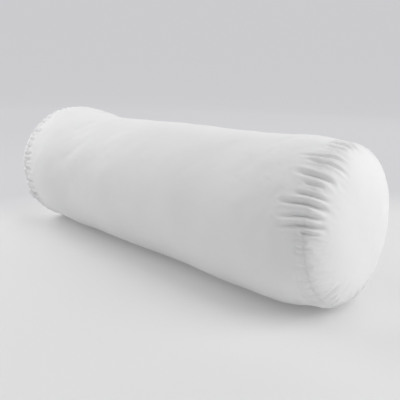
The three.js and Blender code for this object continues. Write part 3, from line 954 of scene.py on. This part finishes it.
def mottled(tree, shader, where, scale, dark, light, rough_low, rough_high):
    """Slight, soft variation of the colour and the roughness over a surface."""
    noise = node(tree, "ShaderNodeTexNoise", [("Vector", where)], in_Scale=scale, in_Detail=3.0)
    ramp = node(tree, "ShaderNodeValToRGB", [("Fac", noise.outputs["Fac"])])
    ramp.color_ramp.elements[0].position, ramp.color_ramp.elements[1].position = 0.3, 0.7
    ramp.color_ramp.elements[0].color, ramp.color_ramp.elements[1].color = (*dark, 1), (*light, 1)
    tree.links.new(ramp.outputs["Color"], shader.inputs["Base Color"])
    spread = node(tree, "ShaderNodeMapRange", [("Value", noise.outputs["Fac"])])
    spread.inputs["To Min"].default_value, spread.inputs["To Max"].default_value = rough_low, rough_high
    tree.links.new(spread.outputs["Result"], shader.inputs["Roughness"])


def bumps(tree, shader, layers):
    """Stacks bump layers of (height socket, strength, distance in metres)."""
    below = None
    for height, strength, distance in layers:
        bump = node(tree, "ShaderNodeBump", [("Height", height)], in_Strength=strength, in_Distance=distance)
        if below is not None:
            tree.links.new(below.outputs["Normal"], bump.inputs["Normal"])
        below = bump
    tree.links.new(below.outputs["Normal"], shader.inputs["Normal"])


def woven(name, pitch, dark, light, rough, weave_strength, sheen=0.25, twill=False):
    """A plain or twill weave along the cloth's own directions, with uneven yarns."""
    made, tree, shader = new_material(name, light, rough, Sheen_Weight=sheen, Sheen_Roughness=0.45)
    shader.inputs["Specular IOR Level"].default_value = 0.3
    place = node(tree, "ShaderNodeUVMap", uv_map="cloth").outputs["UV"]
    wave = TAU / 20  # a wave texture repeats 20 / (2 pi) times a unit at scale 1
    heights = []
    for direction in ("X", "Y"):
        bands = node(
            tree, "ShaderNodeTexWave", [("Vector", place)], wave_type="BANDS",
            bands_direction="DIAGONAL" if twill and direction == "X" else direction,
            in_Scale=wave / pitch, in_Distortion=0.6, in_Detail=1.0, in_Detail_Scale=1.5,
        )
        heights.append(bands.outputs["Fac"])
    cloth = node(tree, "ShaderNodeMath", operation="MULTIPLY")
    tree.links.new(heights[0], cloth.inputs[0])
    tree.links.new(heights[1], cloth.inputs[1])
    where = node(tree, "ShaderNodeTexCoord").outputs["Object"]
    mottled(tree, shader, where, 9.0, dark, light, rough - 0.06, rough + 0.06)
    yarns = node(tree, "ShaderNodeTexNoise", [("Vector", place)], in_Scale=700.0, in_Detail=2.0)
    rumple = node(tree, "ShaderNodeTexNoise", [("Vector", where)], in_Scale=55.0, in_Detail=2.0)
    bumps(tree, shader, [
        (rumple.outputs["Fac"], 0.25, 0.6 * MM),
        (yarns.outputs["Fac"], 0.2, 0.1 * MM),
        (cloth.outputs[0], weave_strength, 0.12 * MM),
    ])
    return made


def speckled(name, dark, light, rough, scale, strength, distance, **sockets):
    """A plain material with fine, uneven grain: thread, fibre, nylon or metal."""
    made, tree, shader = new_material(name, light, rough, **sockets)
    where = node(tree, "ShaderNodeTexCoord").outputs["Object"]
    mottled(tree, shader, where, scale / 6, dark, light, rough - 0.05, rough + 0.08)
    grain = node(tree, "ShaderNodeTexNoise", [("Vector", where)], in_Scale=scale, in_Detail=3.0)
    bumps(tree, shader, [(grain.outputs["Fac"], strength, distance)])
    return made


def brushed(name, dark, light):
    """Cast metal, brushed along the zip."""
    made, tree, shader = new_material(name, light, 0.32, Metallic=1.0)
    where = node(tree, "ShaderNodeTexCoord").outputs["Object"]
    stretched = node(tree, "ShaderNodeMapping", [("Vector", where)])
    stretched.inputs["Scale"].default_value = (150, 3200, 3200)
    grain_place = [("Vector", stretched.outputs["Vector"])]
    lines = node(tree, "ShaderNodeTexNoise", grain_place, in_Scale=1.0, in_Detail=2.0)
    mottled(tree, shader, where, 260.0, dark, light, 0.26, 0.44)
    bumps(tree, shader, [(lines.outputs["Fac"], 0.3, 0.05 * MM)])
    return made


cover_material = woven("white_cotton", 0.55 * MM, (0.80, 0.80, 0.80), (0.84, 0.84, 0.84), 0.7, 0.35)
liner_material = woven("liner_calico", 0.7 * MM, (0.74, 0.73, 0.70), (0.80, 0.79, 0.76), 0.8, 0.4)
tape_material = woven(
    "zip_tape_twill", 0.6 * MM, (0.76, 0.76, 0.76), (0.82, 0.82, 0.82), 0.62, 0.5, twill=True,
)
satin_material = woven(
    "label_satin", 0.25 * MM, (0.78, 0.78, 0.78), (0.84, 0.84, 0.84), 0.38, 0.2, sheen=0.1,
)
thread_material = speckled(
    "sewing_thread", (0.76, 0.76, 0.76), (0.84, 0.84, 0.84), 0.55, 2600.0, 0.4, 0.06 * MM, Sheen_Weight=0.3,
)
fibre_material = speckled(
    "polyester_fibre", (0.78, 0.78, 0.77), (0.88, 0.88, 0.87), 0.85, 420.0, 0.8, 1.2 * MM, Sheen_Weight=0.4,
)
nylon_material = speckled(
    "zip_nylon", (0.74, 0.74, 0.74), (0.82, 0.82, 0.82), 0.35, 900.0, 0.15, 0.03 * MM,
)
metal_material = brushed("brushed_zinc", (0.50, 0.50, 0.50), (0.64, 0.64, 0.63))


def wear(made, material):
    made.data.materials.clear()
    made.data.materials.append(material)


sewn = (binding_right, binding_left, stitches_right, stitches_left, slot_stitches)
MATERIALS = [
    (cover_material, "cover_fabric", (cover_tube, cover_right, cover_left)),
    (thread_material, "binding_thread", sewn),
    (liner_material, "liner_fabric", (liner_tube, liner_right, liner_left)),
    (fibre_material, "filling_fibre", (filling,)),
    (tape_material, "zip_tape", (tape_upper, tape_lower)),
    (nylon_material, "zip_coil", (coil_upper, coil_lower)),
    (thread_material, "zip_tape", (thread_upper, thread_lower)),
    (satin_material, "label_satin", (label,)),
]
for material, slot, worn in MATERIALS:
    for made in worn:
        wear(made, material)
        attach(made, "pillow")

for name in ("zip_slider", "zip_pull", "zip_stop_top_upper", "zip_stop_top_lower", "zip_stop_bottom"):
    made = bpy.data.objects[name]
    for slot in made.material_slots:
        slot.material = metal_material
    if not made.material_slots:
        made.data.materials.append(metal_material)
    add(made, "BEVEL", width=0.22 * MM, segments=3, limit_method="ANGLE", angle_limit=math.radians(35))

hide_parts("cover_tube")
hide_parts("cover_end_right")
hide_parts("cover_end_left")
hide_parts("seam_binding_right")
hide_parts("seam_binding_left")
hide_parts("liner_tube")
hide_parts("liner_end_right")
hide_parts("liner_end_left")
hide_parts("filling_core")
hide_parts("zip_tape_upper")
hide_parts("zip_tape_lower")
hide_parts("zip_coil_upper")
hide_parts("zip_coil_lower")
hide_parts("care_label")


# ---------------------------------------------------------------- stage, lights and camera

FLOOR_COLOR, WALL_COLOR = (0.68, 0.68, 0.68), (0.72, 0.72, 0.72)
# The paper's glow is painted light: it lifts the floor's shade and the pillow's contact shadow, and brightens
# the walls
FLOOR_GLOW, WALL_GLOW = (0.105, 0.105, 0.105), (0.23, 0.23, 0.235)
BEHIND = (-1, 0.45, 0)  # the side where the paper is painted an even grey: an almost black base colour, and a glow that stands in for its lighting
BEHIND_DARK_BASE, BEHIND_PAINTED_GREY = (0.015, 0.015, 0.015), (0.582, 0.582, 0.602)
# Where the painted grey starts and is full: along that direction, and away from the pillow's middle
BEHIND_ALONG, BEHIND_AWAY = (0.05, 0.35), (0.36, 0.56)
WALL_SHADE_TOP = 0.5  # the height at which the paper has its wall colour and the walls' stronger painted glow


def stage_bowl():
    """A pale floor that curves up into a backdrop all round. It glows with painted light, more on the walls,
    and is an even painted grey behind the pillow.
    """
    flat, bend, wall = 3.6, 1.2, 2.0
    profile = [(r, 0.0) for r in np.linspace(0.05, flat, 12)]
    for a in np.linspace(0, math.pi / 2, 13)[1:]:
        profile.append((flat + bend * math.sin(a), bend * (1 - math.cos(a))))
    profile += [(flat + bend, bend + h) for h in np.linspace(0, wall, 5)[1:]]
    turn = np.arange(96) * TAU / 96
    points = np.array([[[r * math.cos(a), r * math.sin(a), z] for a in turn] for r, z in profile])
    rows, columns = points.shape[:2]
    row, column = corners(rows, columns, True, True)
    faces = (row * columns + column % columns).tolist()
    faces += [[c, (c + 1) % columns, rows * columns] for c in range(columns)]
    made = mesh_object("studio_floor", np.concatenate([points.reshape(-1, 3), [[0, 0, 0]]]), faces)
    floor, tree, shader = new_material("studio_paper", FLOOR_COLOR, 0.9, Emission_Strength=1.0)
    where = node(tree, "ShaderNodeTexCoord").outputs["Object"]
    height = node(tree, "ShaderNodeSeparateXYZ", [("Vector", where)]).outputs["Z"]
    along = node(tree, "ShaderNodeVectorMath", [(0, where)], operation="DOT_PRODUCT")
    along.inputs[1].default_value = BEHIND
    away = node(tree, "ShaderNodeVectorMath", [(0, where)], operation="LENGTH")
    share = None
    for value, (low, high) in ((along.outputs["Value"], BEHIND_ALONG), (away.outputs["Value"], BEHIND_AWAY)):
        eased = node(tree, "ShaderNodeMapRange", [("Value", value)], interpolation_type="SMOOTHSTEP")
        eased.inputs["From Min"].default_value, eased.inputs["From Max"].default_value = low, high
        if share is None:
            share = eased.outputs["Result"]
        else:
            share = node(tree, "ShaderNodeMath", [(0, share), (1, eased.outputs["Result"])],
                         operation="MULTIPLY").outputs["Value"]
    # Colour and painted glow, ramped from floor to wall by height, and mixed into the painted even grey
    # behind the pillow
    for socket, low, high, behind in (
        ("Base Color", FLOOR_COLOR, WALL_COLOR, BEHIND_DARK_BASE),
        ("Emission Color", FLOOR_GLOW, WALL_GLOW, BEHIND_PAINTED_GREY),
    ):
        ramp = node(tree, "ShaderNodeValToRGB", [("Fac", height)])
        ramp.color_ramp.elements[0].position, ramp.color_ramp.elements[1].position = 0.0, WALL_SHADE_TOP
        ramp.color_ramp.elements[0].color, ramp.color_ramp.elements[1].color = (*low, 1), (*high, 1)
        mixed = node(tree, "ShaderNodeMixRGB", [("Fac", share), ("Color1", ramp.outputs["Color"])])
        mixed.inputs["Color2"].default_value = (*behind, 1)
        tree.links.new(mixed.outputs["Color"], shader.inputs[socket])
    made.data.materials.append(floor)


stage_bowl()

MIDDLE = Vector((0, 0, RADIUS))

# Name, degrees round from +X towards +Y, degrees above the floor, distance, size, and power in watts
LIGHTS = [
    ("key", 15, 45, 3.2, 2.7, 41), ("top", 15, 70, 1.8, 1.2, 4), ("right_low", 34, 16, 3.2, 2.7, 22),
    ("left", 200, 30, 1.6, 1.2, 13), ("back", 110, 30, 3.2, 2.7, 12),
]


def area_light(name, around, above, distance, size, power):
    data = bpy.data.lights.new(name, "AREA")
    data.shape, data.size, data.energy = "DISK", size, power
    made = bpy.data.objects.new(name, data)
    level = Vector((math.cos(around), math.sin(around), 0)) * math.cos(above)
    made.location = MIDDLE + (level + Vector((0, 0, math.sin(above)))) * distance
    made.rotation_euler = (MIDDLE - made.location).to_track_quat("-Z", "Y").to_euler()
    bpy.context.scene.collection.objects.link(made)


for name, around, above, *rest in LIGHTS:
    area_light(name, math.radians(around), math.radians(above), *rest)

WORLD_COLOR, WORLD_STRENGTH = (1, 1, 1.01, 1), 0.16
world = bpy.data.worlds.new("studio")
world.use_nodes = True
background = world.node_tree.nodes["Background"]
background.inputs["Color"].default_value = WORLD_COLOR
background.inputs["Strength"].default_value = WORLD_STRENGTH
bpy.context.scene.world = world

# The photograph's camera, from a fit to the pillow's outline: degrees, and distances in radii
AZIMUTH, ELEVATION, ROLL = (math.radians(value) for value in (44.46, 13.84, 1.49))
CAMERA_DISTANCE, AIM_RIGHT, AIM_DOWN = 7.673 * RADIUS, 0.376 * RADIUS, 0.199 * RADIUS
LENS, SENSOR = 45, 36  # millimetres, as Blender takes them
right = Vector((math.cos(AZIMUTH), math.sin(AZIMUTH), 0))
back = Vector((math.sin(AZIMUTH), -math.cos(AZIMUTH), 0)) * math.cos(ELEVATION)
back += Vector((0, 0, math.sin(ELEVATION)))
up = back.cross(right)
right, up = right * math.cos(ROLL) + up * math.sin(ROLL), up * math.cos(ROLL) - right * math.sin(ROLL)
camera = bpy.data.objects.new("camera", bpy.data.cameras.new("camera"))
camera.data.lens, camera.data.sensor_width = LENS, SENSOR
camera.data.clip_start, camera.data.clip_end = 0.01, 50
turned = Matrix((right, up, back)).transposed().to_4x4()
turned.translation = MIDDLE + right * AIM_RIGHT - up * AIM_DOWN + back * CAMERA_DISTANCE
camera.matrix_world = turned
bpy.context.scene.collection.objects.link(camera)
bpy.context.scene.camera = camera

bpy.context.scene.view_settings.view_transform = "Standard"
bpy.context.scene.view_settings.look = "None"

bpy.context.view_layer.update()
